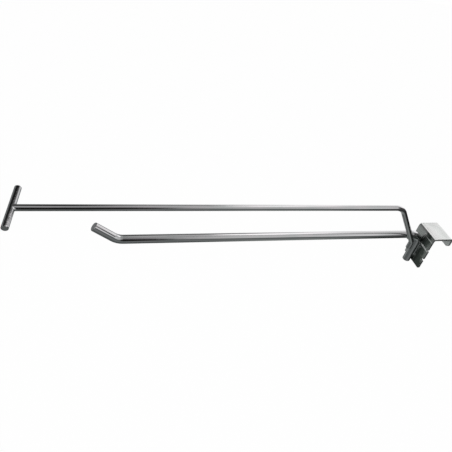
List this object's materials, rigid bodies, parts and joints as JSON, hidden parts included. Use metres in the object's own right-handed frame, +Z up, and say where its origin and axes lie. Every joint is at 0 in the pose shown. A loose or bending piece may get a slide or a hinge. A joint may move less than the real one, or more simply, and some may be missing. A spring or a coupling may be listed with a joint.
{
  "type": "display hook",
  "caption": "Chromed wire display hook with a thinner label wire above it, welded to a folded saddle that hangs over a flat rectangular crossbar.",
  "frame": {"origin": "middle of the underside of the saddle's top plate, where it rests on the crossbar", "axes": "+Z up, +Y towards the back along the arms, which reach towards -Y, X across the hook along the crossbar"},
  "size_m": [0.0369, 0.3107, 0.0607],
  "materials": {
    "saddle": "chrome-plated pressed steel sheet, slightly satin",
    "wire": "bright chrome-plated drawn steel wire",
    "weld": "plated weld bead, slightly rough"
  },
  "bodies": {
    "root": {"saddle_bracket": "saddle", "product_wire": "wire", "label_wire": "wire", "label_crossbar": "wire", "crossbar_weld": "weld", "cross_weld": "weld", "plate_weld_near": "weld", "plate_weld_far": "weld"}
  },
  "joints": []
}
